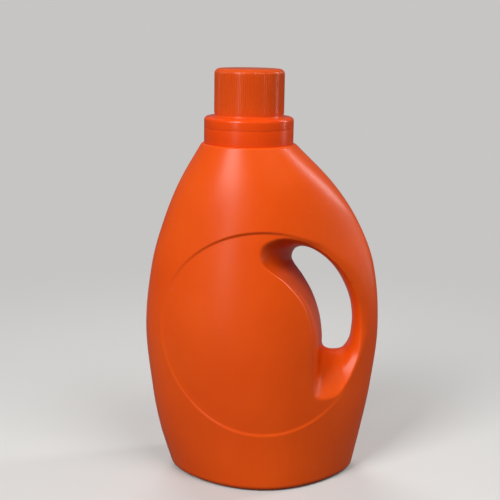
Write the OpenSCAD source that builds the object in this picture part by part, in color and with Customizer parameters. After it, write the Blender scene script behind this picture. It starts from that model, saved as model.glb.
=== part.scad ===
// Detergent bottle with a through handle, a drain-back pouring fitment and a screw-on dosing cap.
// Millimetres. Z is up, X points to the handle, the recessed panel is on the front (-Y) and the back.
// The origin lies on the ground under the middle of the body.

/* [Body] */
// Width over the far side and the handle
body_width = 159; // [150:1:170]
// Depth from front to back at the belly
body_depth = 102; // [94:1:112]
// Height of the flat top of the shoulder
shoulder_height = 226; // [215:1:240]
// Width of the foot, before its edge is rounded
base_width = 125; // [115:1:135]
// Depth of the foot, before its edge is rounded
base_depth = 96; // [86:1:100]
// Distance of the foot from the middle of the body, towards the handle
base_shift = 1.5; // [0:0.5:3]
// Rounding of the foot's edge
heel_radius = 4; // [2:0.5:6]
// Height that the middle of the underside is pushed up
push_up = 3.5; // [2:0.5:6]
// Rounding of the shoulder's upper edge
crown_radius = 1.2; // [0.6:0.1:1.4]
// Thickness of the blown wall
wall = 1.1; // [0.9:0.1:1.8]
// Distance of the neck from the middle of the body, away from the handle
neck_shift = 11; // [4:1:16]

/* [Panel] */
// Diameter of the round recessed panel
panel_diameter = 134; // [126:1:138]
// Height of the middle of the panel
panel_height = 107; // [102:1:112]
// Depth of the panel below the body's surface
panel_step = 1.4; // [0.6:0.1:2]
// Width of the slope at the panel's edge
panel_edge = 1.2; // [1:0.1:1.6]
// How far the panel's edge bows out beside the finger scoop
panel_bow = 3.6; // [0:0.2:4.4]

/* [Handle] */
// Width of the finger opening at the mould's parting plane
opening_width = 42.8; // [40:0.2:44]
// Height of the finger opening at the mould's parting plane
opening_height = 73; // [66:1:76]
// Distance of the opening's middle from the middle of the body
opening_shift = 40; // [38:0.1:41]
// Height of the opening's middle
opening_middle = 121; // [117:1:124]
// Distance between the finger scoop and the panel's edge on the handle
scoop_margin = 1.2; // [1.1:0.1:2]

/* [Neck] */
// Bore of the neck
neck_bore = 49.2; // [48.2:0.1:49.4]
// Wall of the neck
neck_wall = 1.8; // [1.4:0.1:1.9]
// Height of the neck above the shoulder
neck_height = 12.9; // [12.5:0.1:14]
// Height of the snap bead on the neck
bead_height = 2; // [1.5:0.1:2.4]
// Reach of the snap bead
bead_reach = 0.7; // [0.4:0.1:0.9]

/* [Pouring fitment] */
// Outside diameter of the collar, and of the cap's band above it
collar_diameter = 59; // [58.6:0.2:62]
// Height of the collar
collar_height = 10; // [9:0.1:10.4]
// Wall of the collar
collar_wall = 1.6; // [1.2:0.1:1.8]
// Wall of the plug inside the neck
plug_wall = 1.2; // [1:0.1:1.4]
// Depth of the plug below the shoulder
plug_depth = 4.4; // [3:0.1:6]
// Thickness of the rim that sits on the neck
rim_thickness = 1.6; // [1.2:0.1:2]
// Outside diameter of the spout
spout_diameter = 27; // [24:0.5:29]
// Wall of the spout
spout_wall = 1.4; // [1.2:0.1:1.8]
// Height of the spout's lip above the rim
spout_rise = 20; // [12:1:24]
// Shift of the spout from the neck's axis, away from the handle
spout_shift = 3; // [0:0.5:4]
// Width of the drain slot in the back of the spout
drain_width = 7; // [5:0.5:9]

/* [Cap] */
// Outside diameter of the measuring cup, over the ribs
cup_diameter = 46; // [45:0.5:47]
// Height of the cup above its flange
cup_height = 31; // [28:0.5:40]
// Bore of the cup
cup_bore = 42; // [41:0.2:42.4]
// Thickness of the closed end and of the flange
cap_thickness = 1.6; // [1.2:0.1:2]
// Length of the threaded skirt below the flange
skirt_length = 14.5; // [10:0.5:15]
// Number of grip ribs
rib_count = 120; // [60:4:144]
// Depth of the grip ribs
rib_depth = 0.2; // [0.15:0.05:0.5]
// Rounding of the cup's upper edge
cup_rounding = 3.2; // [2:0.2:5]
// Rounding of the flange's upper edge
flange_rounding = 2.4; // [1:0.2:3]

/* [Washer] */
// Thickness of the foam ring
washer_thickness = 1.4; // [1:0.1:2]

/* [Hidden] */
$fn = 96;

// Clearances and small sizes of the closure
ledge = 1.5;
plug_clearance = 0.1;
sleeve_clearance = 0.1;
sleeve_wall = 1.1;
band_clearance = 0.4;
seam_gap = 0.1;
skirt_clearance = 1.1;
washer_clearance = 0.3;
shoulder_gap = 0.2;
lug_height = 2;
lug_clearance = 0.3;
floor_thickness = 1.2;
floor_fall = 2.2;
foot_fillet = 1;
rib_land = 1.2;
overrun = 1;

// Levels and radii that the pieces share
shoulder_radius = collar_diameter / 2 + ledge;
neck_inner = neck_bore / 2;
neck_outer = neck_inner + neck_wall;
neck_rim = shoulder_height + neck_height;
plug_outer = neck_inner - plug_clearance;
plug_inner = plug_outer - plug_wall;
rim_top = neck_rim + rim_thickness;
collar_bottom = shoulder_height + shoulder_gap;
collar_top = collar_bottom + collar_height;
collar_inner = collar_diameter / 2 - collar_wall;
sleeve_inner = neck_outer + sleeve_clearance;
sleeve_outer = sleeve_inner + sleeve_wall;
bead_top = collar_top - collar_wall - lug_clearance;
bead_bottom = bead_top - bead_height;
washer_top = rim_top + washer_thickness;
flange_top = washer_top + cap_thickness;
band_inner = sleeve_outer + band_clearance;
skirt_outer = plug_inner - skirt_clearance;
cup_top = flange_top + cup_height;
cup_root = cup_diameter / 2 - rib_depth;
plug_bottom = shoulder_height - plug_depth;
lug_inner = neck_outer + lug_clearance;
lug_top = bead_bottom - lug_clearance;
rib_root_share = 0.3;

// Outline of the body: height, reach on the far side, reach on the handle side and half depth.
// Heights are shares of the shoulder's height, reaches and depths of half the width and half the depth.
body_shares = [
    [0.133, 0.884, 0.884, 0.950],
    [0.265, 0.951, 0.951, 0.985],
    [0.451, 1.000, 1.000, 1.000],
    [0.642, 0.944, 0.943, 0.955],
    [0.774, 0.840, 0.794, 0.880],
    [0.885, 0.713, 0.577, 0.770],
];

// How much leaner than an ellipse the plan section is towards its far edge, towards its other edge near the
// foot, and towards the handle. The handle's lean grows in from one share of the height over another, and the
// section turns into a circle from the last share up.
far_lean_share = 0.20;
foot_lean_share = 0.30;
handle_lean_share = 0.58;
lean_from_share = 0.12;
lean_over_share = 0.28;
round_from_share = 0.7;

// Middle and half width of the bow in the panel's edge, as angles about the middle of the panel, and the room
// between the panel and the body's widest place that the bow is given for: it grows and shrinks with that room
bow_angle = 332;
bow_spread = 60;
bow_room = 12.5;

// Stations round the finger opening: angle about the middle of the panel, opening edge, scoop edge, how
// straight the wall between the two edges is, and the share of the panel's step. Edges are shares of the
// opening's width and height from its middle. A scoop edge left open runs along the panel's edge.
opening_shares = [
    [  0, [ 0.505, -0.164], undef,            0.08, 0.00],
    [ 13, [ 0.462, -0.007], undef,            0.05, 0.00],
    [ 26, [ 0.366,  0.142], undef,            0.05, 0.00],
    [ 39, [ 0.226,  0.286], undef,            0.05, 0.00],
    [ 52, [ 0.047,  0.411], undef,            0.10, 0.00],
    [ 64, [-0.152,  0.493], undef,            0.30, 0.15],
    [ 76, [-0.315,  0.509], [-0.537,  0.664], 0.50, 0.55],
    [ 88, [-0.437,  0.474], [-0.771,  0.660], 0.60, 0.90],
    [102, [-0.484,  0.397], [-0.963,  0.589], 0.65, 1.00],
    [122, [-0.439,  0.329], [-0.935,  0.445], 0.80, 0.90],
    [150, [-0.297,  0.214], [-0.607,  0.288], 0.90, 0.65],
    [178, [-0.136,  0.047], [-0.304,  0.068], 0.80, 0.50],
    [205, [-0.019, -0.151], [-0.175, -0.171], 0.65, 0.55],
    [228, [ 0.028, -0.329], [-0.135, -0.397], 0.65, 0.65],
    [248, [ 0.037, -0.432], [-0.140, -0.620], 0.75, 0.70],
    [272, [ 0.093, -0.479], [-0.115, -0.770], 0.85, 0.75],
    [298, [ 0.222, -0.500], [ 0.045, -0.822], 0.70, 0.60],
    [320, [ 0.376, -0.471], undef,            0.35, 0.20],
    [336, [ 0.474, -0.384], undef,            0.20, 0.00],
    [349, [ 0.507, -0.271], undef,            0.14, 0.00],
];

// Points along each side, the top and the foot, rows from the opening to the outline, and the places of the
// rows within the rounded edges of the foot and the shoulder as shares of their radii
side_steps = 28;
top_steps = 20;
foot_steps = 12;
outer_rows = [5, 5, 8];
inner_rows = [3, 2, 5];
heel_row_share = 0.3;
crown_row_share = 0.3;

function mix(a, b, s) = a + (b - a) * s;
function ease(s) = let (c = min(1, max(0, s))) c * c * (3 - 2 * c);

// Smooth curve through the rows [position, value] of a table
function slope_at(t, i) =
    let (a = max(0, i - 1), b = min(len(t) - 1, i + 1))
    (t[b][1] - t[a][1]) / (t[b][0] - t[a][0]);
function row_at(t, p, i = 0) = i >= len(t) - 2 || p < t[i + 1][0] ? i : row_at(t, p, i + 1);
function curve(t, p) =
    let (i = row_at(t, p), w = t[i + 1][0] - t[i][0], s = (p - t[i][0]) / w, r = 1 - s)
    (1 + 2 * s) * r * r * t[i][1] + s * r * r * w * slope_at(t, i)
    + s * s * (3 - 2 * s) * t[i + 1][1] - s * s * r * w * slope_at(t, i + 1);

// The body's three profiles over its height
far_profile = profile(1, base_width / 2 - base_shift, body_width / 2, neck_shift + shoulder_radius);
handle_profile = profile(2, base_width / 2 + base_shift, body_width / 2, shoulder_radius - neck_shift);
depth_profile = profile(3, base_depth / 2, body_depth / 2, shoulder_radius);
function profile(column, foot, belly, top) = concat(
    [[0, foot]],
    [for (r = body_shares) [r[0] * shoulder_height, r[column] * belly]],
    [[shoulder_height, top]]);
function edge_rounding(away, radius) =
    away < radius ? radius - sqrt(max(0, radius * radius - pow(radius - away, 2))) : 0;
function drawn_in(z) = edge_rounding(z, heel_radius) + edge_rounding(shoulder_height - z, crown_radius);
function far_reach(z, inset) = curve(far_profile, z) - drawn_in(z) - inset;
function handle_reach(z, inset) = curve(handle_profile, z) - drawn_in(z) - inset;

// Half the depth of the plain body over the point x, z
function half_depth(x, z, inset) =
    let (left = -far_reach(z, inset), right = handle_reach(z, inset),
         middle = (left + right) / 2,
         t = (x - middle) / (right - middle),
         level = z / shoulder_height,
         fade = 1 - ease((level - round_from_share) / (1 - round_from_share)),
         grown = ease((level - lean_from_share) / lean_over_share),
         lean = fade * (x < middle ? far_lean_share : mix(foot_lean_share, handle_lean_share, grown)))
    (curve(depth_profile, z) - drawn_in(z) - inset) * sqrt(max(0, 1 - t * t)) * (1 - lean * t * t);

// Outline of the body in the parting plane, from the foot's corner under the handle and up
function side_heights(low, high) = concat(
    [low, low + heel_radius * heel_row_share],
    [for (k = [0 : side_steps - 4]) mix(low + heel_radius, high - crown_radius, k / (side_steps - 4))],
    [high - crown_radius * crown_row_share, high]);
function outline(inset) =
    let (low = inset, high = shoulder_height - inset,
         heights = side_heights(low, high),
         top_half = (handle_reach(high, inset) + far_reach(high, inset)) / 2,
         top_middle = (handle_reach(high, inset) - far_reach(high, inset)) / 2,
         foot_half = (handle_reach(low, inset) + far_reach(low, inset)) / 2,
         foot_middle = (handle_reach(low, inset) - far_reach(low, inset)) / 2)
    concat(
        [for (z = heights) [handle_reach(z, inset), z]],
        [for (k = [1 : top_steps - 1]) [top_middle + top_half * cos(180 * k / top_steps), high]],
        [for (k = [side_steps : -1 : 0]) [-far_reach(heights[k], inset), heights[k]]],
        [for (k = [1 : foot_steps - 1]) [foot_middle - foot_half * cos(180 * k / foot_steps), low]]);
first_top = side_steps;
last_top = side_steps + top_steps;
first_foot = last_top + side_steps;
spokes = first_foot + foot_steps;
function on_side(i) = i <= first_top || (i >= last_top && i <= first_foot);

// Edges of the opening and of the scoop as closed smooth curves through the stations
panel_radius = panel_diameter / 2;
bow_reach = panel_bow * (body_width / 2 - panel_radius) / bow_room;
function bow(angle) =
    let (off = (angle - bow_angle + 540) % 360 - 180)
    abs(off) < bow_spread ? bow_reach * pow(cos(90 * off / bow_spread), 2) : 0;
function on_panel(angle, radius) =
    let (reach = radius + bow(angle))
    [reach * cos(angle), panel_height + reach * sin(angle)];
function on_opening(share) =
    [opening_shift + opening_width * share[0], opening_middle + opening_height * share[1]];
opening_edge = [for (s = opening_shares) on_opening(s[1])];
scoop_edge = [for (s = opening_shares)
    is_undef(s[2]) ? on_panel(s[0], panel_radius - scoop_margin) : on_opening(s[2])];
station_angles = concat([for (s = opening_shares) s[0]], [360]);
station_count = len(opening_shares);
function station(angle, i = 0) =
    angle < station_angles[i + 1]
        ? i + (angle - station_angles[i]) / (station_angles[i + 1] - station_angles[i])
        : station(angle, i + 1);
function pick(list, i) = list[(i + station_count) % station_count];
function loop_at(list, u) =
    let (i = floor(u), s = u - i,
         a = pick(list, i - 1), b = pick(list, i), c = pick(list, i + 1), d = pick(list, i + 2))
    b + (c - a) * s / 2 + (2 * a - 5 * b + 4 * c - d) * s * s / 2 + (3 * (b - c) + d - a) * s * s * s / 2;
function loop_normal(list, u) =
    let (h = 1 / station_count, t = loop_at(list, u + h) - loop_at(list, u - h + station_count))
    [t[1], -t[0]] / norm(t);
straightness = [for (s = opening_shares) s[3]];
step_shares = [for (s = opening_shares) s[4]];

// One row of points [x, z, half depth] for every spoke, from the opening's edge out to the body's outline
function spoke(rim, side, inset, rows) =
    let (angle = (atan2(rim[1] - panel_height, rim[0]) + 360) % 360,
         u = station(angle),
         straight = loop_at(straightness, u),
         step = panel_step * loop_at(step_shares, u),
         hole = loop_at(opening_edge, u) + inset * loop_normal(opening_edge, u),
         lip = loop_at(scoop_edge, u) + inset * straight * loop_normal(scoop_edge, u),
         lip_depth = half_depth(lip[0], lip[1], inset) - step,
         inner = on_panel(angle, panel_radius - panel_edge / 2 + inset),
         outer = on_panel(angle, panel_radius + panel_edge / 2 + inset))
    concat(
        [for (k = [0 : rows[0]])
            let (s = k / rows[0], p = mix(hole, lip, s))
            [p[0], p[1], lip_depth * (straight * s + (1 - straight) * sqrt(s * (2 - s)))]],
        [for (k = [1 : rows[1]])
            let (p = mix(lip, inner, k / rows[1]))
            [p[0], p[1], half_depth(p[0], p[1], inset) - step]],
        [for (k = [0 : rows[2]])
            let (p = mix(outer, rim, sin(90 * k / rows[2])))
            [p[0], p[1], k == rows[2] && side ? 0 : half_depth(p[0], p[1], inset)]]);
function skin(inset, rows) =
    let (rim = outline(inset))
    [for (i = [0 : spokes - 1]) spoke(rim[i], on_side(i), inset, rows)];

// Corner numbers: the two halves share the opening's edge and the sides of the outline
function row_count(rows) = rows[0] + rows[1] + rows[2] + 2;
function at(first, count, half, i, j) =
    let (k = i % spokes, shared = j == 0 || (j == count - 1 && on_side(k)))
    first + (shared ? 0 : half) * spokes * count + k * count + j;
function quad(a, b, c, d, flip) = flip ? [[d, c, b], [d, b, a]] : [[a, b, c], [a, c, d]];
function sound(triangles) =
    [for (t = triangles) if (t[0] != t[1] && t[1] != t[2] && t[2] != t[0]) t];
function skin_faces(first, count, inward) = [
    for (half = [0, 1], i = [0 : spokes - 1], j = [0 : count - 2])
        each quad(at(first, count, half, i, j), at(first, count, half, i + 1, j),
                  at(first, count, half, i + 1, j + 1), at(first, count, half, i, j + 1),
                  (half == 1) != inward)];

// Underside between the front and the back edge of the foot, pushed up inside a flat standing ring. The shares
// are of the way from the edge to the middle.
ring_share = 0.16;
push_share = 0.24;
function foot_points(skin) = [
    for (i = [first_foot + 1 : spokes - 1], k = [1 : foot_steps - 1])
        let (edge = skin[i][len(skin[i]) - 1],
             along = cos(180 * (i - first_foot) / foot_steps),
             across = cos(180 * k / foot_steps),
             out = sqrt(along * along + across * across * (1 - along * along)))
        [edge[0], -across * edge[2], edge[1] + push_up * ease((1 - ring_share - out) / push_share)]];
function foot_at(first, count, foot, i, k) =
    k == 0 || i == first_foot || i == spokes ? at(first, count, 0, i, count - 1)
    : k == foot_steps ? at(first, count, 1, i, count - 1)
    : foot + (i - first_foot - 1) * (foot_steps - 1) + k - 1;
function foot_faces(first, count, foot, inward) = [
    for (i = [first_foot : spokes - 1], k = [0 : foot_steps - 1])
        each quad(foot_at(first, count, foot, i, k), foot_at(first, count, foot, i + 1, k),
                  foot_at(first, count, foot, i + 1, k + 1), foot_at(first, count, foot, i, k + 1), inward)];

// Ring of the opening that the neck stands on, in the flat top of the shoulder
ring_radius = (neck_inner + neck_outer) / 2;
function ring_points(z) = [
    for (half = [-1, 1], k = [0 : top_steps])
        let (y = ring_radius * sin(180 * k / top_steps))
        [-neck_shift + ring_radius * cos(180 * k / top_steps), k % top_steps == 0 ? 0 : half * y, z]];
function ring_at(first, half, k) = first + (k % top_steps == 0 ? 0 : half) * (top_steps + 1) + k;
function top_faces(first, count, ring, inward) = [
    for (half = [0, 1], k = [0 : top_steps - 1])
        each quad(at(first, count, half, first_top + k, count - 1),
                  at(first, count, half, first_top + k + 1, count - 1),
                  ring_at(ring, half, k + 1), ring_at(ring, half, k), (half == 1) != inward)];
function ring_faces(upper, lower) = [
    for (half = [0, 1], k = [0 : top_steps - 1])
        each quad(ring_at(upper, half, k), ring_at(upper, half, k + 1),
                  ring_at(lower, half, k + 1), ring_at(lower, half, k), half == 1)];

function halves(skin) = [for (side = [-1, 1], s = skin, p = s) [p[0], p[2] == 0 ? 0 : side * p[2], p[1]]];

module blown_shell() {
    outer_skin = skin(0, outer_rows);
    inner_skin = skin(wall, inner_rows);
    outer = halves(outer_skin);
    inner = halves(inner_skin);
    outer_foot = foot_points(outer_skin);
    inner_foot = foot_points(inner_skin);
    upper_ring = ring_points(shoulder_height);
    lower_ring = ring_points(shoulder_height - wall);
    outer_count = row_count(outer_rows);
    inner_count = row_count(inner_rows);
    inner_first = len(outer);
    upper_first = inner_first + len(inner);
    lower_first = upper_first + len(upper_ring);
    outer_foot_first = lower_first + len(lower_ring);
    inner_foot_first = outer_foot_first + len(outer_foot);
    polyhedron(
        points = concat(outer, inner, upper_ring, lower_ring, outer_foot, inner_foot),
        faces = sound(concat(
            skin_faces(0, outer_count, false),
            foot_faces(0, outer_count, outer_foot_first, false),
            top_faces(0, outer_count, upper_first, false),
            ring_faces(upper_first, lower_first),
            top_faces(inner_first, inner_count, lower_first, true),
            foot_faces(inner_first, inner_count, inner_foot_first, true),
            skin_faces(inner_first, inner_count, true))));
}

// Places a round piece on the neck's axis
module on_neck() {
    translate([-neck_shift, 0, 0]) children();
}

module bottle() {
    color("#e8611f") {
        blown_shell();
        on_neck() rotate_extrude() polygon([
            [neck_inner, shoulder_height - wall / 2],
            [neck_outer, shoulder_height - wall / 2],
            [neck_outer, bead_bottom],
            [neck_outer + bead_reach, bead_bottom + bead_height / 2],
            [neck_outer, bead_top],
            [neck_outer, neck_rim],
            [neck_inner, neck_rim]]);
    }
}

// Round stretch of a profile, from one angle to another
arc_steps = 8;
function arc(middle, radius, from, to) = [
    for (k = [0 : arc_steps])
        let (angle = mix(from, to, k / arc_steps))
        middle + radius * [cos(angle), sin(angle)]];

// Collar, snap lugs, rim on the neck, plug wall and sloping gutter floor in one turned profile
module fitment_profile() {
    polygon([
        [collar_inner, collar_bottom],
        [collar_diameter / 2, collar_bottom],
        [collar_diameter / 2, collar_top],
        [sleeve_outer, collar_top],
        [sleeve_outer, rim_top],
        [plug_inner, rim_top],
        [plug_inner, plug_bottom + floor_thickness],
        [0, plug_bottom + floor_thickness - floor_fall],
        [0, plug_bottom - floor_fall],
        [plug_outer, plug_bottom],
        [plug_outer, neck_rim],
        [sleeve_inner, neck_rim],
        [sleeve_inner, collar_top - collar_wall],
        [collar_inner, collar_top - collar_wall],
        [collar_inner, lug_top],
        [lug_inner, lug_top],
        [lug_inner, lug_top - lug_height / 2],
        [collar_inner, lug_top - lug_height]]);
}

module pour_spout() {
    spout_foot = plug_bottom - floor_fall;
    lip = rim_top + spout_rise;
    color("#dc4a18") on_neck() difference() {
        union() {
            rotate_extrude() fitment_profile();
            translate([-spout_shift, 0, spout_foot]) difference() {
                cylinder(d = spout_diameter, h = lip - spout_foot);
                // The lip curves from its tall front down to a low back
                translate([spout_diameter / 2, 0, lip - spout_foot])
                    rotate([90, 0, 0])
                        cylinder(r = spout_diameter, h = spout_diameter + 2 * overrun, center = true);
            }
        }
        translate([-spout_shift, 0, spout_foot - overrun])
            cylinder(d = spout_diameter - 2 * spout_wall, h = lip - spout_foot + 2 * overrun);
        // What drips into the gutter runs back through the slot
        translate([-spout_shift, -drain_width / 2, spout_foot - overrun])
            cube([spout_diameter / 2 + overrun, drain_width, lip - spout_foot]);
    }
}

module sealing_washer() {
    color("#f2efe6") on_neck() difference() {
        translate([0, 0, rim_top]) cylinder(r = band_inner - washer_clearance, h = washer_thickness);
        translate([0, 0, rim_top - overrun])
            cylinder(r = skirt_outer + washer_clearance, h = washer_thickness + 2 * overrun);
    }
}

// Cup, flange, band and threaded skirt in one turned profile, without the ribs
module cap_profile() {
    band_outer = collar_diameter / 2;
    inner_rounding = cup_rounding - cap_thickness;
    polygon(concat(
        [[0, cup_top]],
        arc([cup_root - cup_rounding, cup_top - cup_rounding], cup_rounding, 90, 0),
        arc([cup_root + foot_fillet, flange_top + foot_fillet], foot_fillet, 180, 270),
        arc([band_outer - flange_rounding, flange_top - flange_rounding], flange_rounding, 90, 0),
        [[band_outer, collar_top + seam_gap],
         [band_inner, collar_top + seam_gap],
         [band_inner, washer_top],
         [skirt_outer, washer_top],
         [skirt_outer, washer_top - skirt_length],
         [cup_bore / 2, washer_top - skirt_length]],
        arc([cup_bore / 2 - inner_rounding, cup_top - cap_thickness - inner_rounding], inner_rounding, 0, 90),
        [[0, cup_top - cap_thickness]]));
}

// Ring of grip ribs whose valleys lie just under the cup's surface
module grip_ribs() {
    valley = cup_root - rib_depth * rib_root_share;
    bottom = flange_top + foot_fillet + rib_land;
    top = cup_top - cup_rounding - rib_land;
    translate([0, 0, bottom]) linear_extrude(top - bottom) difference() {
        polygon([for (k = [0 : 2 * rib_count - 1])
            let (angle = 180 * k / rib_count, radius = k % 2 == 0 ? cup_diameter / 2 : valley)
            radius * [cos(angle), sin(angle)]]);
        circle(r = (cup_bore / 2 + valley) / 2);
    }
}

module dosing_cap() {
    color("#cf4a1b") on_neck() {
        rotate_extrude() cap_profile();
        grip_ribs();
    }
}

bottle();
pour_spout();
sealing_washer();
dosing_cap();
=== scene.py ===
import math

import bmesh
import bpy
import numpy as np
from mathutils import Matrix, Vector


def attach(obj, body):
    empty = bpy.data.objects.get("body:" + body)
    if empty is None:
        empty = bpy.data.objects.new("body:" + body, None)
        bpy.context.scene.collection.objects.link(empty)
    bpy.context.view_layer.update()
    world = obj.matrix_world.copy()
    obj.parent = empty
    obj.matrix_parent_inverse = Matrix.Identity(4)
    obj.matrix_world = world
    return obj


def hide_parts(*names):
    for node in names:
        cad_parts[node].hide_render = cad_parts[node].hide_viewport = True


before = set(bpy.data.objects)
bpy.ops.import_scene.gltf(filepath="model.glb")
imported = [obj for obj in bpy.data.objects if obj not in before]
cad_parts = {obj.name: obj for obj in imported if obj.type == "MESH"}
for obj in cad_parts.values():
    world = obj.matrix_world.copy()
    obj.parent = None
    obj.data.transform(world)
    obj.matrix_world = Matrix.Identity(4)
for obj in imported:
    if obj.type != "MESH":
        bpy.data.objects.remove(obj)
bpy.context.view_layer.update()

scene = bpy.context.scene


# BOTTLE
# One hollow shell of polyethylene, blown from a tube between two mould halves that pinch the handle out
# of it. The halves meet in the plane y = 0 and leave a fine parting line. Sizes here are millimetres.

body_width, body_depth, shoulder_height = 158.8, 101.4, 226
base_width, base_depth, base_shift = 125, 96, 1.5
heel_radius, crown_radius, wall, neck_shift = 4, 1.2, 1.1, 11
push_up, ring_share, push_share = 3.5, 0.16, 0.24
panel_radius, panel_height = 67, 107
panel_step, panel_slope = 1.4, 2.4
panel_bow, bow_angle, bow_spread = 3.6, math.radians(336), math.radians(72)
opening_size, opening_middle = np.array([42.8, 73]), np.array([40, 121])
scoop_margin = 1.4
shoulder_radius = 31

# How strongly the plan section leans to a point on each side, and the heights where that grows and fades
far_lean, foot_lean, handle_lean = 0.20, 0.30, 0.58
lean_from, lean_over, round_from = 0.12, 0.28, 0.7

# Outline of the body: height, reach on the far side, reach on the handle side and half depth, in shares
body_shares = np.array([
    [0.133, 0.884, 0.884, 0.950],
    [0.265, 0.951, 0.951, 0.985],
    [0.451, 1.000, 1.000, 1.000],
    [0.642, 0.944, 0.943, 0.955],
    [0.774, 0.840, 0.794, 0.880],
    [0.885, 0.713, 0.577, 0.770],
])

# Stations round the finger opening: angle on the panel, opening edge, scoop edge, straightness of the wall,
# share of the panel's step, how far the crease between wall and panel is rounded, and how tightly the wall
# bends at the opening. A scoop edge of None runs along the panel's edge.
opening_shares = [
    [0, (0.505, -0.164), None, 0.14, 0.00, 5.0, 2.5],
    [13, (0.462, -0.007), None, 0.05, 0.00, 6.5, 2.0],
    [26, (0.366, 0.142), None, 0.05, 0.00, 6.5, 2.0],
    [39, (0.226, 0.286), None, 0.05, 0.00, 6.0, 2.0],
    [52, (0.047, 0.411), None, 0.10, 0.00, 5.0, 2.0],
    [64, (-0.152, 0.493), None, 0.30, 0.15, 3.4, 2.0],
    [76, (-0.315, 0.509), (-0.537, 0.664), 0.50, 0.55, 2.2, 2.0],
    [88, (-0.437, 0.474), (-0.771, 0.660), 0.60, 0.90, 1.8, 2.0],
    [102, (-0.484, 0.397), (-0.963, 0.589), 0.65, 1.00, 1.8, 2.0],
    [122, (-0.439, 0.329), (-0.935, 0.445), 0.80, 0.90, 1.5, 2.0],
    [150, (-0.297, 0.214), (-0.607, 0.288), 0.90, 0.65, 1.2, 2.0],
    [178, (-0.136, 0.047), (-0.304, 0.068), 0.80, 0.45, 1.4, 2.0],
    [205, (-0.019, -0.151), (-0.175, -0.171), 0.65, 0.42, 2.4, 2.0],
    [228, (0.028, -0.329), (-0.135, -0.397), 0.65, 0.42, 2.6, 2.0],
    [248, (0.037, -0.432), (-0.140, -0.620), 0.75, 0.46, 2.2, 2.0],
    [272, (0.093, -0.479), (-0.115, -0.770), 0.85, 0.50, 1.8, 2.5],
    [298, (0.222, -0.500), (0.045, -0.822), 0.72, 0.44, 1.5, 4.0],
    [320, (0.386, -0.486), None, 0.58, 0.18, 1.2, 6.0],
    [336, (0.479, -0.398), None, 0.44, 0.00, 1.1, 7.0],
    [349, (0.503, -0.274), None, 0.30, 0.00, 2.6, 4.0],
]

# Points along each side, the top and the foot of the outline, and within the rounded foot and shoulder.
# Rows over the scoop's wall, the panel, its slope and the body outside it, for both skins.
side_steps, top_steps, foot_steps = 96, 72, 48
heel_steps, crown_steps, underside_rows = 8, 6, 37
outer_rows, inner_rows = (22, 27, 12, 44), (6, 6, 4, 12)
# The slope's two ends beside the panel's edge, how far and how evenly the rows lie closer along the
# scoop's lip, the length that the panel's rise is taken over there, and the crease's fading share of the wall
slope_start, slope_end = -panel_slope / 2, panel_slope
fine_reach, fine_spread = 2.6, 1.5
slope_probe, crease_fade = 1, 0.25


def ease(s):
    c = np.clip(s, 0, 1)
    return c * c * (3 - 2 * c)


def curve_through(places, values, at):
    """Smooth curve through the given values"""
    slopes = np.empty(len(values))
    slopes[1:-1] = (values[2:] - values[:-2]) / (places[2:] - places[:-2])
    slopes[0] = (values[1] - values[0]) / (places[1] - places[0])
    slopes[-1] = (values[-1] - values[-2]) / (places[-1] - places[-2])
    i = np.clip(np.searchsorted(places, at, side="right") - 1, 0, len(places) - 2)
    width = places[i + 1] - places[i]
    s = (at - places[i]) / width
    r = 1 - s
    return ((1 + 2 * s) * r * r * values[i] + s * r * r * width * slopes[i]
            + s * s * (3 - 2 * s) * values[i + 1] - s * s * r * width * slopes[i + 1])


def body_profile(column, foot, belly, top):
    places = np.concatenate([[0], body_shares[:, 0] * shoulder_height, [shoulder_height]])
    return places, np.concatenate([[foot], body_shares[:, column] * belly, [top]])


far_profile = body_profile(1, base_width / 2 - base_shift, body_width / 2, neck_shift + shoulder_radius)
handle_profile = body_profile(2, base_width / 2 + base_shift, body_width / 2, shoulder_radius - neck_shift)
depth_profile = body_profile(3, base_depth / 2, body_depth / 2, shoulder_radius)


def edge_rounding(away, radius):
    """How far a rounded edge draws back, at a distance from the flat end"""
    left = np.clip(radius - away, 0, radius)
    return radius - np.sqrt(radius ** 2 - left ** 2)


def body_reach(profile, z, inset):
    """Reach of one of the body's profiles at a height, with the foot's and the shoulder's rounded edges"""
    return (curve_through(*profile, z) - inset
            - edge_rounding(z, heel_radius) - edge_rounding(shoulder_height - z, crown_radius))


def half_depth(x, z, inset):
    """Half the depth of the plain body over a point of the parting plane"""
    left, right = -body_reach(far_profile, z, inset), body_reach(handle_profile, z, inset)
    middle = (left + right) / 2
    t = (x - middle) / (right - middle)
    level = z / shoulder_height
    fade = 1 - ease((level - round_from) / (1 - round_from))
    near_lean = foot_lean + (handle_lean - foot_lean) * ease((level - lean_from) / lean_over)
    lean = np.where(x < middle, far_lean, near_lean) * fade
    return body_reach(depth_profile, z, inset) * np.sqrt(np.clip(1 - t * t, 0, 1)) * (1 - lean * t * t)


def body_outline(inset):
    """Outline in the parting plane from the foot's corner under the handle and up, as x and z"""
    low, high = inset, shoulder_height - inset
    heights = np.concatenate([
        low + heel_radius * (1 - np.cos(np.linspace(0, np.pi / 2, heel_steps + 1)))[:-1],
        np.linspace(low + heel_radius, high - crown_radius, side_steps - heel_steps - crown_steps + 1),
        high - crown_radius * (1 - np.sin(np.linspace(0, np.pi / 2, crown_steps + 1)))[1:]])
    far, near = body_reach(far_profile, heights, inset), body_reach(handle_profile, heights, inset)
    round_top = np.cos(np.pi * np.arange(1, top_steps) / top_steps)
    round_foot = -np.cos(np.pi * np.arange(1, foot_steps) / foot_steps)
    x = np.concatenate([
        near, (near[-1] - far[-1]) / 2 + (near[-1] + far[-1]) / 2 * round_top,
        -far[::-1], (near[0] - far[0]) / 2 + (near[0] + far[0]) / 2 * round_foot])
    z = np.concatenate([
        heights, np.full(top_steps - 1, high), heights[::-1], np.full(foot_steps - 1, low)])
    return np.stack([x, z], 1)


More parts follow.
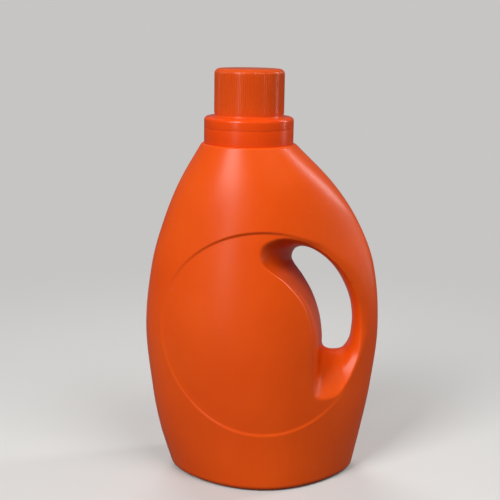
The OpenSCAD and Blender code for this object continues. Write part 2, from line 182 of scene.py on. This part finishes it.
def closed_curve(points, u):
    """Closed smooth curve through the points, at the place u counted in points"""
    i = np.floor(u).astype(int)
    s = (u - i).reshape((-1,) + (1,) * (points.ndim - 1))
    a, b, c, d = (points[(i + k) % len(points)] for k in (-1, 0, 1, 2))
    return (b + (c - a) * s / 2 + (2 * a - 5 * b + 4 * c - d) * s ** 2 / 2
            + (3 * (b - c) + d - a) * s ** 3 / 2)


def curve_normal(points, u):
    """Direction square to a closed curve, in its plane"""
    beside = 0.05
    along = closed_curve(points, u + beside) - closed_curve(points, u - beside)
    return np.stack([along[:, 1], -along[:, 0]], 1) / np.linalg.norm(along, axis=1)[:, None]


def on_panel(angle, radius):
    """Points beside the panel's edge, which bows out at the finger scoop"""
    off = np.clip((angle - bow_angle + 3 * np.pi) % (2 * np.pi) - np.pi, -bow_spread, bow_spread)
    reach = radius + panel_bow * np.cos(np.pi / 2 * off / bow_spread) ** 2
    return np.stack([reach * np.cos(angle), panel_height + reach * np.sin(angle)], 1)


station_angles = np.radians([s[0] for s in opening_shares])
opening_edge = np.array([opening_middle + opening_size * s[1] for s in opening_shares])
scoop_edge = np.array([
    on_panel(np.radians([s[0]]), panel_radius - scoop_margin)[0] if s[2] is None
    else opening_middle + opening_size * s[2] for s in opening_shares])
straightness, step_shares, crease_reaches, wall_bends = np.array([s[3:] for s in opening_shares]).T


def bottle_skin(inset, rows):
    """Grid of points from the opening's edge out to the body's outline, for the front half"""
    wall_rows, panel_rows, slope_rows, body_rows = rows
    rim = body_outline(inset)
    count = len(opening_shares)
    angle = np.arctan2(rim[:, 1] - panel_height, rim[:, 0]) % (2 * np.pi)
    lap = np.concatenate([station_angles - 2 * np.pi, station_angles, station_angles + 2 * np.pi])
    u = curve_through(lap, np.arange(3 * count, dtype=float), angle) - count
    straight, bend = closed_curve(straightness, u), closed_curve(wall_bends, u)
    step = panel_step * closed_curve(step_shares, u)

    # The lines that the rows run between
    hole = closed_curve(opening_edge, u) + inset * curve_normal(opening_edge, u)
    lip = closed_curve(scoop_edge, u) + inset * straight[:, None] * curve_normal(scoop_edge, u)
    inner = on_panel(angle, panel_radius + slope_start + inset)
    outer = on_panel(angle, panel_radius + slope_end + inset)
    wall_length = np.linalg.norm(lip - hole, axis=1)
    panel_length = np.linalg.norm(inner - lip, axis=1)

    def depth_at(p):
        return half_depth(p[:, 0], p[:, 1], inset)

    # The crease between the scoop's wall and the panel is rounded by how far the surface turns there
    lip_depth = depth_at(lip) - step
    probe = np.minimum(slope_probe, panel_length / 2)
    ahead = lip + (inner - lip) * (probe / panel_length)[:, None]
    panel_rise = (depth_at(ahead) - step - lip_depth) / probe
    turn = np.maximum(lip_depth * straight / wall_length - panel_rise, 0)
    reach = np.minimum(closed_curve(crease_reaches, u), wall_length)

    def crease(away):
        return turn / 4 * np.clip(reach - away, 0, None) ** 2 / reach

    made = []

    def add_row(p, depth):
        made.append(np.stack([p[:, 0], depth, p[:, 1]], 1))

    for s in (1 - np.cos(np.pi * np.arange(wall_rows + 1) / wall_rows)) / 2:
        depth = lip_depth * (straight * s + (1 - straight) * np.sqrt(1 - (1 - s) ** bend))
        depth = depth - crease(wall_length * (1 - s)) * ease(s / crease_fade)
        add_row(hole + (lip - hole) * s, np.maximum(depth, 0))
    fine_rows = panel_rows // 3
    fine = np.minimum(fine_reach, panel_length / 2)
    for k in range(1, panel_rows + 1):
        if k <= fine_rows:
            away = fine * (k / fine_rows) ** fine_spread
        else:
            away = fine + (panel_length - fine) * (k - fine_rows) / (panel_rows - fine_rows)
        p = lip + (inner - lip) * (away / panel_length)[:, None]
        add_row(p, depth_at(p) - step - crease(away))
    for k in range(1, slope_rows + 1):
        p = inner + (outer - inner) * k / slope_rows
        off = slope_start + (slope_end - slope_start) * k / slope_rows
        sunk = step * (1 - ease(off / panel_slope + 0.5))
        add_row(p, depth_at(p) - sunk - crease(np.linalg.norm(p - lip, axis=1)))
    for k in range(1, body_rows + 1):
        p = outer + (rim - outer) * math.sin(math.pi / 2 * k / body_rows)
        add_row(p, depth_at(p) - crease(np.linalg.norm(p - lip, axis=1)))
    grid = np.stack(made, 1)

    # Both halves meet in the parting plane along the sides and round the opening
    on_side = np.ones(len(rim), bool)
    on_side[side_steps + 1:side_steps + top_steps] = False
    on_side[2 * side_steps + top_steps + 1:] = False
    grid[on_side, -1, 1] = 0
    grid[:, 0, 1] = 0
    return grid


def grid_faces(rows, columns, closed, first):
    """Four-sided faces over a grid of points that is stored row by row"""
    i, j = np.meshgrid(np.arange(rows if closed else rows - 1), np.arange(columns - 1), indexing="ij")
    a = (i * columns + j).ravel()
    b = ((i + 1) % rows * columns + j).ravel()
    return np.stack([a, b, b + 1, a + 1], 1) + first


def piece_from(name, grids):
    """Object from grids of points in millimetres, welded where they meet. A grid is (points, closed)."""
    millimetre, weld, sliver, sharp_angle = 0.001, 2e-6, 1e-7, math.radians(40)
    points, faces, first = [], [], 0
    for grid, closed in grids:
        rows, columns = grid.shape[:2]
        points.append(grid.reshape(-1, 3))
        faces.append(grid_faces(rows, columns, closed, first))
        first += rows * columns
    mesh = bpy.data.meshes.new(name)
    mesh.from_pydata((np.concatenate(points) * millimetre).tolist(), [], np.concatenate(faces).tolist())
    work = bmesh.new()
    work.from_mesh(mesh)
    bmesh.ops.remove_doubles(work, verts=work.verts, dist=weld)
    bmesh.ops.dissolve_degenerate(work, edges=work.edges, dist=sliver)
    bmesh.ops.recalc_face_normals(work, faces=work.faces)
    for edge in work.edges:
        edge.smooth = len(edge.link_faces) == 2 and edge.calc_face_angle(0) < sharp_angle
    for face in work.faces:
        face.smooth = True
    work.to_mesh(mesh)
    work.free()
    made = bpy.data.objects.new(name, mesh)
    scene.collection.objects.link(made)
    return made


def both_halves(grid, closed):
    return [(grid * [1, side, 1], closed) for side in (-1, 1)]


outer_skin, inner_skin = bottle_skin(0, outer_rows), bottle_skin(wall, inner_rows)

# The neck rises from the flat top of the shoulder, with a bead that the pouring fitment snaps over.
# Small corners and the bead are drawn by shares of their sizes.
neck_inner, neck_outer, neck_rim = 24.6, 26.4, 238.9
neck_fillet, rim_rounding, throat_flare, throat_drop = 1, 0.4, 1, 0.8
bead_reach, bead_low, bead_high = 0.7, 232.3, 234.3
corner_share = 0.3
corner_shares = [(0, 1), (corner_share, corner_share), (1, 0)]
bead_shares = [(0, 0), (0.8, 0.35), (1, 0.5), (0.6, 0.7), (0, 1)]
neck_profile = (
    [(neck_outer + neck_fillet * b, shoulder_height + neck_fillet * a) for a, b in corner_shares]
    + [(neck_outer + bead_reach * out, bead_low + (bead_high - bead_low) * up) for out, up in bead_shares]
    + [(neck_outer - rim_rounding * a, neck_rim - rim_rounding * b) for a, b in corner_shares]
    + [(neck_inner + rim_rounding * b, neck_rim - rim_rounding * a) for a, b in corner_shares]
    + [(neck_inner, shoulder_height),
       (neck_inner + throat_flare * corner_share, shoulder_height - throat_drop),
       (neck_inner + throat_flare, shoulder_height - wall)])
on_top = slice(side_steps, side_steps + top_steps + 1)
neck_angle = np.pi * np.arange(top_steps + 1) / top_steps
neck_rings = [
    np.stack([-neck_shift + r * np.cos(neck_angle), r * np.sin(neck_angle), np.full(len(neck_angle), z)], 1)
    for r, z in neck_profile]
neck_grid = np.stack([outer_skin[on_top, -1]] + neck_rings + [inner_skin[on_top, -1]], 1)
neck_grid[[0, -1], :, 1] = 0


def foot_strip(grid):
    """Underside between the front and the back edge of the foot, pushed up inside a standing ring"""
    edge = np.concatenate([grid[2 * side_steps + top_steps:, -1], grid[:1, -1]])
    along = -np.cos(np.pi * np.linspace(0, 1, len(edge)))
    rows = []
    for across in np.sin(np.linspace(-np.pi / 2, np.pi / 2, underside_rows)):
        out = np.sqrt(along ** 2 + across ** 2 * (1 - along ** 2))
        rise = push_up * ease((1 - ring_share - out) / push_share)
        rows.append(edge * [1, across, 1] + np.outer(rise, [0, 0, 1]))
    return np.stack(rows, 1), False


bottle = piece_from("bottle_shell", (
    both_halves(outer_skin, True) + both_halves(inner_skin, True) + both_halves(neck_grid, False)
    + [foot_strip(outer_skin), foot_strip(inner_skin)]))


def add_node(tree, kind, **settings):
    node = tree.nodes.new(kind)
    for key, value in settings.items():
        setattr(node, key, value)
    return node


def feed(tree, source, target):
    """Give a socket a plain value, a plain colour or another node's output"""
    if isinstance(source, bpy.types.NodeSocket):
        tree.links.new(source, target)
    else:
        target.default_value = (*source, 1) if target.type == "RGBA" else source


def scale_node(tree, vector, scale):
    node = add_node(tree, "ShaderNodeVectorMath", operation="MULTIPLY")
    feed(tree, vector, node.inputs[0])
    feed(tree, scale, node.inputs[1])
    return node.outputs[0]


def noise_node(tree, vector, scale, detail, rough=0.5):
    node = add_node(tree, "ShaderNodeTexNoise")
    for name, value in (("Vector", vector), ("Scale", scale), ("Detail", detail), ("Roughness", rough)):
        feed(tree, value, node.inputs[name])
    return node.outputs["Fac"]


def range_node(tree, value, source, target=(0, 1), kind="LINEAR"):
    node = add_node(tree, "ShaderNodeMapRange", interpolation_type=kind, clamp=True)
    for name, number in zip(("Value", "From Min", "From Max", "To Min", "To Max"), (value, *source, *target)):
        feed(tree, number, node.inputs[name])
    return node.outputs["Result"]


def math_node(tree, operation, first, second=0):
    node = add_node(tree, "ShaderNodeMath", operation=operation)
    feed(tree, first, node.inputs[0])
    feed(tree, second, node.inputs[1])
    return node.outputs[0]


def mix_node(tree, share, first, second):
    """Blend of two colours, which a Mix node takes in its sockets 6 and 7 and gives in 2"""
    node = add_node(tree, "ShaderNodeMix", data_type="RGBA")
    for place, value in ((0, share), (6, first), (7, second)):
        feed(tree, value, node.inputs[place])
    return node.outputs[2]


def along_axis(tree, place, axis):
    node = add_node(tree, "ShaderNodeSeparateXYZ")
    feed(tree, place, node.inputs[0])
    return node.outputs[axis]


def bump_node(tree, height, distance, shader):
    node = add_node(tree, "ShaderNodeBump")
    feed(tree, 1, node.inputs["Strength"])
    feed(tree, distance, node.inputs["Distance"])
    feed(tree, height, node.inputs["Height"])
    feed(tree, node.outputs["Normal"], shader.inputs["Normal"])
    return node


def new_material(name):
    """Empty material, with its tree, its shader and its object's coordinates"""
    material = bpy.data.materials.new(name)
    material.use_nodes = True
    tree = material.node_tree
    return (material, tree, tree.nodes["Principled BSDF"],
            add_node(tree, "ShaderNodeTexCoord").outputs["Object"])


def moulded_skin_group():
    """Skin of moulded plastic: the fine grain of the mould, faint streaks drawn along the piece, broad
    cloudiness of the colour and sparse rub marks. All the rigid pieces share it, each with its own values."""
    tree = bpy.data.node_groups.new("moulded_skin", "ShaderNodeTree")
    for name, kind in (("Place", "NodeSocketVector"), ("Grain Size", "NodeSocketFloat"),
                       ("Streak Size", "NodeSocketFloat")):
        tree.interface.new_socket(name, in_out="INPUT", socket_type=kind)
    into, out = add_node(tree, "NodeGroupInput"), add_node(tree, "NodeGroupOutput")
    place = into.outputs["Place"]
    drawn_out, flattened = scale_node(tree, place, (1, 1, 0.012)), scale_node(tree, place, (1, 1, 6))
    marks = range_node(tree, noise_node(tree, flattened, scale=120, detail=4, rough=0.6), (0.60, 0.72))
    patches = range_node(tree, noise_node(tree, place, scale=30, detail=2), (0.52, 0.66))
    for name, value in (
            ("Grain", noise_node(tree, place, into.outputs["Grain Size"], detail=2)),
            ("Streak", noise_node(tree, drawn_out, into.outputs["Streak Size"], detail=3)),
            ("Cloud", noise_node(tree, place, scale=16, detail=3, rough=0.55)),
            ("Rub", math_node(tree, "MULTIPLY", marks, patches))):
        tree.interface.new_socket(name, in_out="OUTPUT", socket_type="NodeSocketFloat")
        feed(tree, value, out.inputs[name])
    return tree


moulded_skin = moulded_skin_group()


def plastic_material(name, colour, deep_colour, rough, specular, grain_height, streak_height, grain_size,
                     streak_size, rubbed):
    """Satin coloured plastic with the moulded skin: the material, its coordinates, tint, height and bump"""
    streak_share, gloss_play, worn_share, worn_pale = 0.08, 0.035, 0.6, 0.3
    worn_colour = [c * worn_share + worn_pale for c in colour]
    material, tree, shader, place = new_material(name)
    skin = add_node(tree, "ShaderNodeGroup", node_tree=moulded_skin)
    for name, value in (("Place", place), ("Grain Size", grain_size), ("Streak Size", streak_size)):
        feed(tree, value, skin.inputs[name])

    def share_of(output, share):
        return math_node(tree, "MULTIPLY", skin.outputs[output], share)

    cloud = math_node(tree, "ADD", share_of("Cloud", 1 - streak_share), share_of("Streak", streak_share))
    wear = share_of("Rub", rubbed)
    tint = mix_node(tree, range_node(tree, cloud, (0.35, 0.65)), deep_colour, colour)
    feed(tree, mix_node(tree, wear, tint, worn_colour), shader.inputs["Base Color"])
    gloss = range_node(tree, cloud, (0.3, 0.7), (rough - gloss_play, rough + gloss_play))
    feed(tree, math_node(tree, "ADD", gloss, wear), shader.inputs["Roughness"])
    feed(tree, specular, shader.inputs["Specular IOR Level"])
    height = math_node(tree, "ADD", share_of("Grain", grain_height), share_of("Streak", streak_height))
    return material, place, tint, height, bump_node(tree, height, 1, shader)


def linear(red, green, blue):
    """Colour as light from a colour on the screen's scale of 0 to 255"""
    return [c / 12.92 if c <= 0.04045 else ((c + 0.055) / 1.055) ** 2.4
            for c in (red / 255, green / 255, blue / 255)]


bottle_plastic, place, _, height, bump = plastic_material(
    "bottle_polyethylene", linear(232, 84, 14), linear(226, 77, 10), rough=0.31, specular=0.31,
    grain_height=0.00002, streak_height=0.000004, grain_size=1800, streak_size=260, rubbed=0.1)
# The parting line stands a little proud where the mould halves met
line_half_width, line_height = 0.00035, 0.00012
tree = bottle_plastic.node_tree
from_parting = math_node(tree, "ABSOLUTE", along_axis(tree, place, "Y"))
line = range_node(tree, from_parting, (0, line_half_width), (1, 0), "SMOOTHSTEP")
line = math_node(tree, "MULTIPLY", line, line_height)
feed(tree, math_node(tree, "ADD", height, line), bump.inputs["Height"])
bottle.data.materials.append(bottle_plastic)
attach(bottle, "bottle")
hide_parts("bottle")


# POURING FITMENT
# A polypropylene insert pushed into the neck until its snap ring passes the bead. Its plug carries the
# sloping gutter floor with the spout, the thread for the cap inside, and outside the plain collar.

collar_radius, collar_inner, collar_low, collar_high, collar_ceiling = 29.5, 27.9, 226.06, 236.2, 234.6
sleeve_inner, sleeve_outer = 26.5, 27.6
plug_inner, plug_outer, plug_low, rim_high = 23.3, 24.5, 221.6, 240.5
plug_toe, plug_bevel, plug_taper = 0.1, 0.4, 0.6
foot_edge, collar_edge, sleeve_fillet, rim_edge, bore_edge = 0.15, 0.12, 0.3, 0.4, 0.3
floor_thickness, floor_fall, floor_overlap = 1.2, 2.2, 0.5
lug_inner, lug_high, lug_height = 26.7, 232.0, 2
spout_radius, spout_wall, spout_shift, spout_lip, drain_half, lip_crown = 13.5, 1.4, 3, 260.5, 3.5, 0.35
thread_lead, thread_starts, thread_rise, thread_width = 10, 2, 9, 1.5
fitment_thread_low, fitment_thread_height = 229.3, 0.65
collar_steps, thread_steps, floor_steps, floor_rings, tube_steps, tube_rows = 192, 120, 144, 9, 181, 25


def corner(x, z, radius, start, end, steps=4):
    """Points round a corner of a profile, from one direction to another in degrees"""
    middle = math.radians((start + end) / 2)
    x -= math.copysign(radius, math.cos(middle))
    z -= math.copysign(radius, math.sin(middle))
    return [(x + radius * math.cos(a), z + radius * math.sin(a))
            for a in np.radians(np.linspace(start, end, steps + 1))]


def turned(profile, steps):
    """Grid of a closed profile turned about the neck's axis"""
    r, z = np.array(profile + profile[:1]).T
    a = 2 * np.pi * np.arange(steps) / steps
    return np.stack([-neck_shift + np.outer(np.cos(a), r), np.outer(np.sin(a), r),
                     np.tile(z, (steps, 1))], 2), True


# Section of a thread, as shares of its height and width
thread_shares = [(0, -0.5), (0.05, -0.5), (1, -0.18), (1, 0.18), (0.05, 0.5), (0, 0.5), (0, -0.5)]


def thread_ridge(root, crest, low, first_angle):
    """Helical ridge with run-out ends, standing out of or into a round wall, as a closed grid"""
    embedding, run_out = 0.15, 1 / 8
    turns = thread_rise / thread_lead
    t = np.linspace(0, 1, round(turns * thread_steps) + 1)
    angle = first_angle + 2 * np.pi * turns * t
    full = ease(np.minimum(t, 1 - t) * turns / run_out)
    embed = root - embedding * np.sign(crest - root)
    rows = []
    for out, up in thread_shares:
        r = embed + (crest - embed) * out * full
        rows.append(np.stack([-neck_shift + r * np.cos(angle), r * np.sin(angle),
                              low + thread_rise * t + thread_width * up * full], 1))
    return np.stack(rows, 1), False


collar_profile = (
    [(collar_inner, collar_low)]
    + corner(collar_radius, collar_low, foot_edge, -90, 0)
    + corner(collar_radius, collar_high, collar_edge, 0, 90)
    + corner(sleeve_outer, collar_high, sleeve_fillet, 270, 180)
    + corner(sleeve_outer, rim_high, rim_edge, 0, 90)
    + corner(plug_inner, rim_high, bore_edge, 90, 180)
    + [(plug_inner, plug_low + floor_thickness), (plug_inner, plug_low - plug_toe),
       (plug_outer - plug_bevel, plug_low), (plug_outer, plug_low + plug_taper), (plug_outer, neck_rim),
       (sleeve_inner, neck_rim), (sleeve_inner, collar_ceiling), (collar_inner, collar_ceiling),
       (collar_inner, lug_high), (lug_inner, lug_high), (lug_inner, lug_high - lug_height / 2),
       (collar_inner, lug_high - lug_height)])

# The gutter floor is a ring between the plug and the spout, which stands off the neck's axis
spout_x = -neck_shift - spout_shift
floor_angle = 2 * np.pi * np.arange(floor_steps) / floor_steps
round_way = np.stack([np.cos(floor_angle), np.sin(floor_angle)], 1)
from_spout = round_way * (spout_radius - spout_wall / 2) + [spout_x, 0]
from_plug = round_way * (plug_inner + floor_overlap) + [-neck_shift, 0]
upper_face = [(share, 0) for share in np.linspace(0, 1, floor_rings)]
lower_face = [(share, -floor_thickness) for share, _ in reversed(upper_face)]
floor_rows = []
for share, level in upper_face + lower_face:
    p = from_plug + (from_spout - from_plug) * share
    away = np.hypot(p[:, 0] + neck_shift, p[:, 1]) / plug_inner
    floor_rows.append(np.column_stack([p, plug_low + floor_thickness + level - floor_fall * (1 - away)]))
floor_grid = np.stack(floor_rows + floor_rows[:1], 1)

# The spout's lip falls in a hollow curve from its tall front to its back, where the drain slot is open
drain_angle = math.asin(drain_half / spout_radius)
tube_angle = np.linspace(drain_angle, 2 * np.pi - drain_angle, tube_steps)
tube_foot = plug_low - floor_fall
tube_sides = []
for radius in (spout_radius, spout_radius - spout_wall):
    x, y = spout_x + radius * np.cos(tube_angle), radius * np.sin(tube_angle)
    from_back = x - (spout_x + spout_radius)
    top = spout_lip - np.sqrt(np.clip((2 * spout_radius) ** 2 - from_back ** 2, 0, None))
    tube_sides.append(np.stack([
        np.stack([x, y, tube_foot + (top - tube_foot) * s], 1) for s in np.linspace(0, 1, tube_rows)], 1))
outside, inside = tube_sides
lip_middle = (outside[:, -1:] + inside[:, -1:]) / 2 + [0, 0, lip_crown]
tube_grid = np.concatenate([outside, lip_middle, inside[:, ::-1], outside[:, :1]], 1)
slot_faces = []
for end in (0, -1):
    crown = lip_middle[end, 0]
    slot_faces.append((np.stack([outside[end], inside[end]]), False))
    slot_faces.append((np.array([[outside[end, -1], crown], [inside[end, -1], crown]]), False))

fitment_threads = [
    thread_ridge(plug_inner, plug_inner - fitment_thread_height, fitment_thread_low, math.pi * k)
    for k in range(thread_starts)]
pour_spout = piece_from("pouring_fitment", (
    [turned(collar_profile, collar_steps), (floor_grid, True), (tube_grid, False)]
    + slot_faces + fitment_threads))
spout_plastic = plastic_material(
    "fitment_polypropylene", linear(232, 74, 12), linear(226, 66, 8), rough=0.28, specular=0.26,
    grain_height=0.000012, streak_height=0.0, grain_size=1400, streak_size=300, rubbed=0.04)[0]
pour_spout.data.materials.append(spout_plastic)
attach(pour_spout, "bottle")
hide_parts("pour_spout")


# SEALING WASHER
# A flat ring punched from a sheet of closed-cell polyethylene foam. It lies in the cap under the flange,
# turns up with it, and is squeezed on the fitment's rim when the cap is done up.

washer_inner, washer_outer, washer_low, washer_high = 22.5, 27.7, 240.5, 241.9
washer_play, washer_edge, washer_steps = 0.03, 0.35, 160
washer_top = washer_high - washer_play
washer_profile = (
    corner(washer_outer, washer_low, washer_edge, -90, 0)
    + corner(washer_outer, washer_top, washer_edge, 0, 90)
    + corner(washer_inner, washer_top, washer_edge, 90, 180)
    + corner(washer_inner, washer_low, washer_edge, 180, 270))
washer = piece_from("foam_washer", [turned(washer_profile, washer_steps)])
cell_count, cell_depth = 3200, 0.00006
foam, tree, shader, place = new_material("white_foam")
cells = add_node(tree, "ShaderNodeTexVoronoi", feature="F1")
feed(tree, place, cells.inputs["Vector"])
feed(tree, cell_count, cells.inputs["Scale"])
from_cell = cells.outputs["Distance"]
shade = mix_node(tree, range_node(tree, from_cell, (0, 0.6)), linear(226, 222, 210), linear(244, 242, 234))
feed(tree, shade, shader.inputs["Base Color"])
matt = range_node(tree, noise_node(tree, place, scale=200, detail=3), (0.3, 0.7), (0.7, 0.85))
feed(tree, matt, shader.inputs["Roughness"])
bump_node(tree, from_cell, cell_depth, shader)
washer.data.materials.append(foam)
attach(washer, "washer")
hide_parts("sealing_washer")


# DOSING CAP
# A polypropylene cup moulded upside down, so that it measures a dose when it is taken off. Fine upright
# ribs give grip, the band closes flush on the collar, and the skirt screws into the fitment.

cup_radius, cup_bore, cup_top = 23, 21, 274.5
cap_thickness, cup_rounding, bore_rounding, foot_fillet = 1.6, 3.2, 1.6, 1.0
rib_count, rib_depth, rib_land, rib_run_in, rib_stop, rib_fade = 120, 0.2, 1.2, 1.2, 0.4, 2.6
band_inner, band_low, band_edge, flange_top, flange_rounding = 28.0, 236.3, 0.12, 243.5, 2.4
skirt_outer, skirt_low, skirt_bevel = 22.2, 227.4, 0.3
cap_thread_low, cap_thread_height = 228.6, 0.7
hair, wall_rings, upper_gap, lower_gap = 0.01, 7, 0.5, 3
top_rings = (hair, 6, 12, 16)
cup_root = cup_radius - rib_depth
rib_low, rib_high = flange_top + foot_fillet + rib_land, cup_top - rib_stop
wall_levels = np.concatenate([
    np.linspace(cup_top - cup_rounding - upper_gap, rib_low + lower_gap, wall_rings),
    np.linspace(rib_low + rib_run_in / 2, rib_low - rib_run_in / 2, wall_rings)])
cap_profile = (
    [(r, cup_top) for r in top_rings]
    + corner(cup_root, cup_top, cup_rounding, 90, 0, steps=10)
    + [(cup_root, z) for z in wall_levels]
    + corner(cup_root, flange_top, foot_fillet, 180, 270, steps=6)
    + corner(collar_radius, flange_top, flange_rounding, 90, 0, steps=8)
    + corner(collar_radius, band_low, band_edge, 0, -90)
    + [(band_inner, band_low), (band_inner, washer_high), (skirt_outer, washer_high),
       (skirt_outer, skirt_low + skirt_bevel), (skirt_outer - skirt_bevel, skirt_low),
       (cup_bore + skirt_bevel, skirt_low), (cup_bore, skirt_low + skirt_bevel)]
    + corner(cup_bore, cup_top - cap_thickness, bore_rounding, 0, 90, steps=6)
    + [(r, cup_top - cap_thickness) for r in top_rings[2::-1]])

# Each rib is a flat land between two narrow grooves. The shares are places and heights over one rib.
rib_places = np.array([0, 0.09, 0.18, 0.25, 0.5, 0.75, 0.82, 0.91])
rib_heights = np.array([0, 0.5, 1, 1, 1, 1, 1, 0.5])
cap_angles = ((np.arange(rib_count)[:, None] + rib_places) * 2 * np.pi / rib_count).ravel()
radius, level = np.array(cap_profile + cap_profile[:1]).T
on_wall = ((radius > cup_root - cup_rounding) & (radius < cup_root + hair)
           & (level > flange_top + foot_fillet))
ribbed = ease((level - rib_low) / rib_run_in + 0.5) * ease((rib_high - level) / rib_fade) * on_wall
radius = radius + rib_depth * np.outer(np.tile(rib_heights, rib_count), ribbed)
cap_grid = np.stack([radius * np.cos(cap_angles)[:, None] - neck_shift, radius * np.sin(cap_angles)[:, None],
                     np.tile(level, (len(cap_angles), 1))], 2)
cap_threads = [
    thread_ridge(skirt_outer, skirt_outer + cap_thread_height, cap_thread_low, math.pi * (k + 0.5))
    for k in range(thread_starts)]
cap = piece_from("dosing_cup", [(cap_grid, True)] + cap_threads)
cap_plastic, place, tint = plastic_material(
    "cap_polypropylene", linear(216, 80, 22), linear(208, 72, 16), rough=0.22, specular=0.26,
    grain_height=0.000010, streak_height=0.0, grain_size=1500, streak_size=400, rubbed=0.02)[:3]
# The band lies on the fitment and looks redder than the thin wall of the cup
backed_below, thin_above = 0.2425, 0.2455
tree = cap_plastic.node_tree
tinted = [link.to_socket for link in tint.links]
in_band = range_node(tree, along_axis(tree, place, "Z"), (backed_below, thin_above), (1, 0), "SMOOTHSTEP")
backed = mix_node(tree, in_band, tint, linear(230, 72, 12))
for socket in tinted:
    feed(tree, backed, socket)
cap.data.materials.append(cap_plastic)
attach(cap, "cap")
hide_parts("dosing_cap")


# STUDIO
# A pale floor that runs out to a pale surround. A tall soft light on the left and a strip on the right, each
# with a small low one, are mirrored in the plastic; two broad ones, high in front and behind, only fill.
# The camera stands where the photograph was taken from. Sizes here are metres.

surround = linear(238, 237, 235)
surround_glow, surround_light, mirrored_share = 0.66, 0.11, 0.1
floor_radius, floor_sides, floor_near, floor_far = 8, 64, 0.12, 0.65
paper_rough, paper_gloss = 0.8, 0.1


def seen_directly(tree):
    """1 for what the camera sees, also through a clear thing, part of it in a reflection, else 0"""
    path = add_node(tree, "ShaderNodeLightPath")
    mirrored = math_node(tree, "MULTIPLY", path.outputs["Is Glossy Ray"], mirrored_share)
    seen = math_node(tree, "MAXIMUM", path.outputs["Is Camera Ray"], path.outputs["Is Transmission Ray"])
    return math_node(tree, "MAXIMUM", seen, mirrored)


floor_mesh = bpy.data.meshes.new("floor")
floor_rim = [(floor_radius * math.cos(a), floor_radius * math.sin(a), 0)
             for a in np.linspace(0, 2 * math.pi, floor_sides, endpoint=False)]
floor_mesh.from_pydata(floor_rim, [], [list(range(floor_sides))])
floor = bpy.data.objects.new("floor", floor_mesh)
scene.collection.objects.link(floor)
paper, tree, shader, place = new_material("pale_floor")
seen = seen_directly(tree)
feed(tree, mix_node(tree, seen, linear(84, 83, 82), linear(205, 204, 202)), shader.inputs["Base Color"])
feed(tree, paper_rough, shader.inputs["Roughness"])
feed(tree, paper_gloss, shader.inputs["Specular IOR Level"])
away = add_node(tree, "ShaderNodeVectorMath", operation="LENGTH")
feed(tree, place, away.inputs[0])
far = range_node(tree, away.outputs["Value"], (floor_near, floor_far), kind="SMOOTHSTEP")
glow = add_node(tree, "ShaderNodeEmission")
feed(tree, surround, glow.inputs["Color"])
feed(tree, surround_glow, glow.inputs["Strength"])
fade = add_node(tree, "ShaderNodeMixShader")
feed(tree, math_node(tree, "MULTIPLY", far, seen), fade.inputs[0])
feed(tree, shader.outputs[0], fade.inputs[1])
feed(tree, glow.outputs[0], fade.inputs[2])
feed(tree, fade.outputs[0], tree.nodes["Material Output"].inputs["Surface"])
floor_mesh.materials.append(paper)

world = bpy.data.worlds.new("surround")
scene.world = world
world.use_nodes = True
tree = world.node_tree
background = tree.nodes["Background"]
feed(tree, surround, background.inputs["Color"])
brightness = range_node(tree, seen_directly(tree), (0, 1), (surround_light, surround_glow))
feed(tree, brightness, background.inputs["Strength"])

lamps_aim = Vector((0, 0, 0.16))


def soft_light(name, turn, height, distance, size, power, mirrored=True):
    """Lamp with a rectangular diffuser, placed by its turn from the front towards the handle, in degrees"""
    data = bpy.data.lights.new(name, "AREA")
    data.shape = "RECTANGLE"
    data.size, data.size_y = size
    data.energy = power
    lamp = bpy.data.objects.new(name, data)
    side = math.radians(turn)
    lamp.location = (distance * math.sin(side), -distance * math.cos(side), height)
    lamp.rotation_euler = (lamps_aim - lamp.location).to_track_quat("-Z", "Y").to_euler()
    lamp.visible_glossy = mirrored
    scene.collection.objects.link(lamp)


soft_light("left_softbox", -37, 0.92, 1.03, (0.54, 0.84), 14)
soft_light("left_low", -34, 0.20, 1.05, (0.16, 0.36), 0.6)
soft_light("right_strip", 111, 0.80, 1.20, (0.18, 0.62), 4.6)
soft_light("right_low", 102, 0.20, 1.10, (0.16, 0.34), 0.6)
soft_light("high_front", 38, 1.20, 0.95, (0.9, 0.9), 10, mirrored=False)
soft_light("back_fill", 196, 0.95, 1.10, (0.9, 0.9), 9, mirrored=False)

# The camera's reach is its distance from the picture plane, counted in pixels of the photograph
picture_width, picture_reach = 500, 1022
camera_place, pitch, roll = (-0.0090, -0.6753, 0.300), math.radians(12.24), math.radians(0.9)
camera_data = bpy.data.cameras.new("camera")
camera_data.sensor_width = 36
camera_data.lens = camera_data.sensor_width * picture_reach / picture_width
camera_data.clip_start, camera_data.clip_end = 0.01, 50
camera = bpy.data.objects.new("camera", camera_data)
level_right = Vector((1, 0, 0))
ahead = Vector((0, math.cos(pitch), -math.sin(pitch)))
level_up = Vector((0, math.sin(pitch), math.cos(pitch)))
right = level_right * math.cos(roll) + level_up * math.sin(roll)
up = level_up * math.cos(roll) - level_right * math.sin(roll)
turned_to = Matrix((right, up, -ahead)).transposed().to_4x4()
camera.matrix_world = Matrix.Translation(camera_place) @ turned_to
scene.collection.objects.link(camera)
scene.camera = camera
scene.view_settings.view_transform = "Standard"
